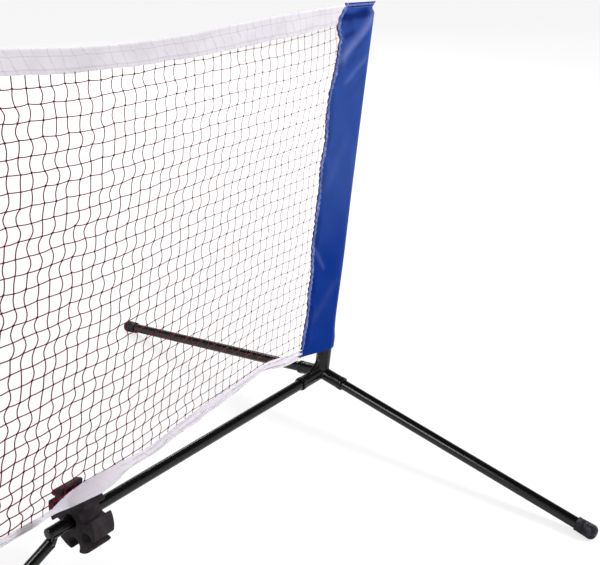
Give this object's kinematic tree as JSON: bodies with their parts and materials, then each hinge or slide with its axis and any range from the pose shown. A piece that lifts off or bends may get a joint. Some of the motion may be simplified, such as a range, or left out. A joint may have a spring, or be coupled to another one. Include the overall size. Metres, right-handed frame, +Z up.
{
  "type": "badminton net post",
  "caption": "End frame of a portable low net: legs, rail and a leaning post plug into a moulded hub, and a cloth pocket on the post carries the taped net.",
  "frame": {"origin": "on the floor under the middle of the part's bounding box; the hub's centre is at x 0.4158 m, z 0.1211 m", "axes": "+Z up; -X along the rail, the way the net runs from the post; +Y along the rear leg, so -Y is the front"},
  "size_m": [1.1144, 1.3828, 0.9733],
  "materials": {
    "black_paint": "satin black powder coat",
    "black_plastic": "moulded nylon, slight sheen",
    "dark_rubber": "dull dark grey rubber",
    "charcoal_plastic": "fine matte charcoal plastic",
    "steel": "plated steel",
    "blue_cloth": "plain woven polyester with a soft sheen",
    "blue_binding": "folded woven tape, stitched",
    "white_tape": "thin white woven tape",
    "maroon_cord": "twisted and knotted nylon twine"
  },
  "bodies": {
    "hub": {"hub": "black_plastic"},
    "front_leg": {"front_leg_tube": "black_paint", "front_leg_foot": "dark_rubber"},
    "rear_leg": {"rear_leg_tube": "black_paint", "rear_leg_foot": "dark_rubber"},
    "rail": {"rail_tube": "black_paint", "rail_end_plug": "black_plastic", "hinge_bracket": "black_paint", "hinge_pin": "steel"},
    "clip": {"storage_clip": "charcoal_plastic"},
    "prop": {"prop_knuckle": "black_plastic", "prop_tube": "black_paint", "prop_foot": "dark_rubber"},
    "post": {"post_tube": "black_paint", "post_top_cap": "black_plastic"},
    "net": {"net_sleeve": "blue_cloth", "sleeve_top_hem": "blue_cloth", "sleeve_seam_binding": "blue_binding", "top_tape": "white_tape", "bottom_tape": "white_tape", "net_mesh": "maroon_cord"}
  },
  "joints": [
    {"name": "front_leg_pull", "type": "slide", "parent": "hub", "child": "front_leg", "axis": [0, -0.9877, -0.1564], "range_m": [0, 0.045]},
    {"name": "rear_leg_pull", "type": "slide", "parent": "hub", "child": "rear_leg", "axis": [0, 0.9877, -0.1564], "range_m": [0, 0.045]},
    {"name": "rail_pull", "type": "slide", "parent": "hub", "child": "rail", "axis": [-1, 0, 0], "range_m": [0, 0.06]},
    {"name": "clip_slide", "type": "slide", "parent": "rail", "child": "clip", "axis": [1, 0, 0], "range_m": [-0.025, 0.59]},
    {"name": "prop_fold", "type": "hinge", "parent": "rail", "child": "prop", "pos_m": [-0.35524, 0, 0.10107], "axis": [0, -1, 0], "range_deg": [0, 95]},
    {"name": "post_lift", "type": "slide", "parent": "hub", "child": "post", "axis": [0.1478, 0, 0.989], "range_m": [0, 0.06]},
    {"name": "net_lift", "type": "slide", "parent": "post", "child": "net", "axis": [0.1478, 0, 0.989], "range_m": [0, 0.7]}
  ]
}
